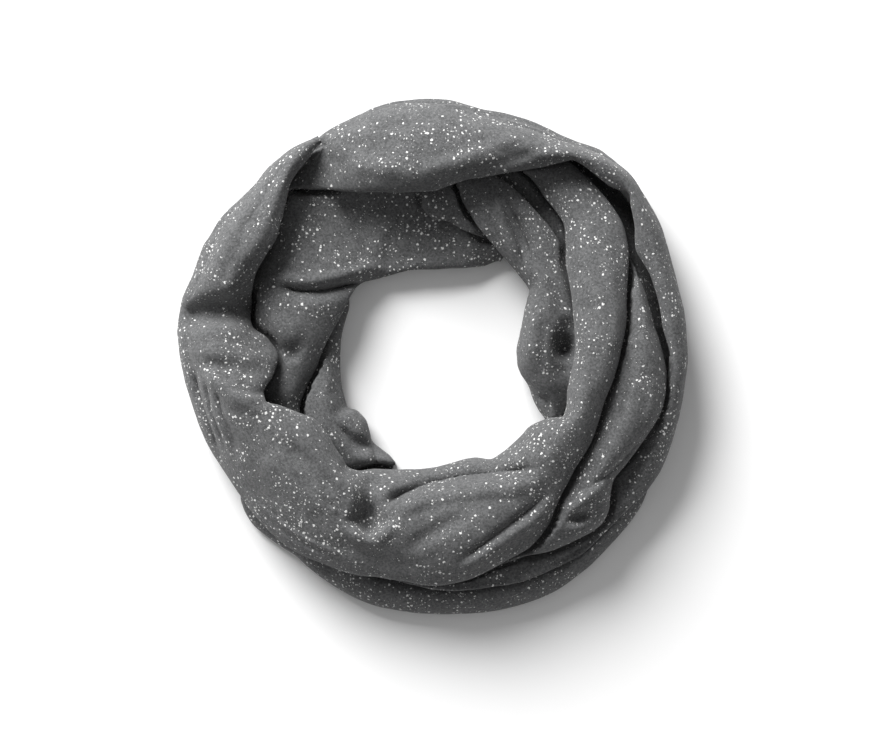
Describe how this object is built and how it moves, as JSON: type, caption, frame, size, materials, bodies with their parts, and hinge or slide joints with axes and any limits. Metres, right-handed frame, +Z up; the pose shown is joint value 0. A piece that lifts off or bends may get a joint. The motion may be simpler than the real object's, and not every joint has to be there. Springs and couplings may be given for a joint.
{
  "type": "infinity scarf",
  "caption": "Infinity scarf of speckled knit jersey, wound double and lying flat in a loose ring with deep soft folds around an open middle.",
  "frame": {"origin": "middle of the ring, on the surface that the scarf lies on", "axes": "+Z up; +Y towards the widest single band of cloth, which rolls over the back of the ring; +X to its right"},
  "size_m": [0.3409, 0.3462, 0.0736],
  "materials": {
    "jersey": "soft matte charcoal melange jersey with white neps",
    "shaded_jersey": "the same jersey, inside the folds"
  },
  "bodies": {
    "root": {"hidden_layers": "shaded_jersey", "outer_turn": "jersey", "under_turn": "jersey", "upper_turn": "jersey", "second_ridge": "jersey", "inner_turn": "jersey", "lower_inner_turn": "jersey", "fan_fold": "jersey", "tucked_fold": "jersey", "shaded_fold": "jersey"}
  },
  "joints": []
}
